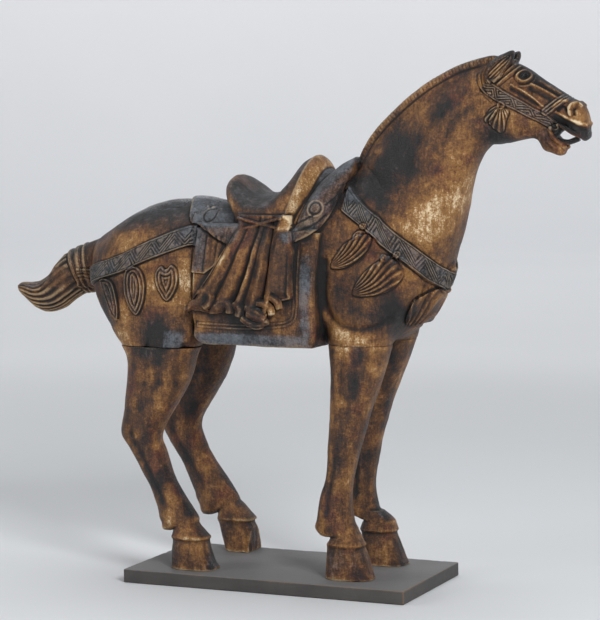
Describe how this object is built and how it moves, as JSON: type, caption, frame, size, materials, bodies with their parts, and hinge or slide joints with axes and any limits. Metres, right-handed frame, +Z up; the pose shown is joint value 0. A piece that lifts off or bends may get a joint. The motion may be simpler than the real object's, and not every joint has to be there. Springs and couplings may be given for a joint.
{
  "type": "carved wooden horse statue",
  "caption": "Standing carved wooden horse in saddle, draped cloth, breast strap and crupper, gilt over dark lacquer, on a plain flat board.",
  "frame": {"origin": "centre of the board's underside", "axes": "+X toward the horse's head along the board's length, +Y toward the horse's left side, +Z up"},
  "size_m": [0.883, 0.234, 0.7653],
  "materials": {
    "gilt_lacquer": "rubbed bronze gilding over red-brown and blue-black lacquer on carved wood, satin",
    "plinth_paint": "matte dark grey-brown paint, worn brown at the edges"
  },
  "bodies": {
    "root": {"horse_body": "gilt_lacquer", "right_foreleg": "gilt_lacquer", "left_foreleg": "gilt_lacquer", "right_hindleg": "gilt_lacquer", "left_hindleg": "gilt_lacquer", "plinth": "plinth_paint"}
  },
  "joints": []
}
